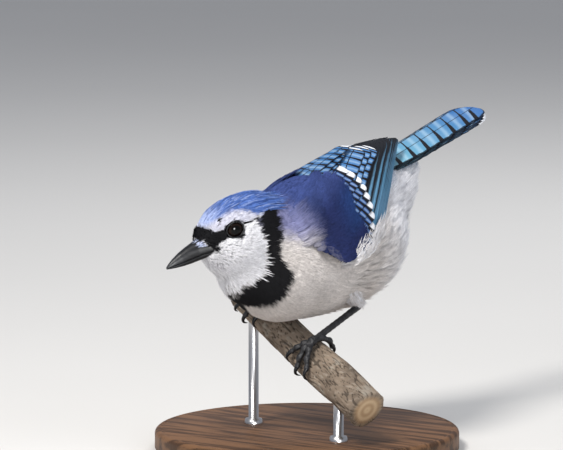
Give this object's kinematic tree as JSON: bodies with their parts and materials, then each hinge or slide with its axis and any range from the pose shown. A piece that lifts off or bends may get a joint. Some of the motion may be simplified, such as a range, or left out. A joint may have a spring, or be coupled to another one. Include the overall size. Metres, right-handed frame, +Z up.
{
  "type": "blue jay display model",
  "caption": "Life-size still model of a blue jay crouched on a cut length of branch, held by short rods over a round base",
  "frame": {"origin": "middle of the underside of the stand's base, on the surface that it stands on", "axes": "+Z up, the bird faces -Y with its tail to +Y, +X is the bird's left"},
  "size_m": [0.15, 0.223, 0.1564],
  "materials": {
    "plumage": "soft body feathers, blue above and white to grey below, with a black collar",
    "quill_feathers": "smooth blue vanes with black bars and white tips",
    "horn": "black horn with a soft shine",
    "eye": "wet, very dark brown",
    "leg_scales": "black scaled skin",
    "bark": "dry, cracked grey-brown bark",
    "base_wood": "satin varnished dark wood",
    "rod_steel": "brushed steel rod"
  },
  "bodies": {
    "root": {"torso": "plumage", "neck": "plumage", "head": "plumage", "thigh_left": "plumage", "thigh_right": "plumage", "wing_left": "quill_feathers", "wing_right": "quill_feathers", "tail": "quill_feathers", "bill_upper": "horn", "bill_lower": "horn", "eye_left": "eye", "eye_right": "eye", "tarsus_left": "leg_scales", "tarsus_right": "leg_scales", "foot_left": "leg_scales", "foot_right": "leg_scales", "perch_branch": "bark", "stand_base": "base_wood", "stand_rod_left": "rod_steel", "stand_rod_right": "rod_steel"}
  },
  "joints": []
}
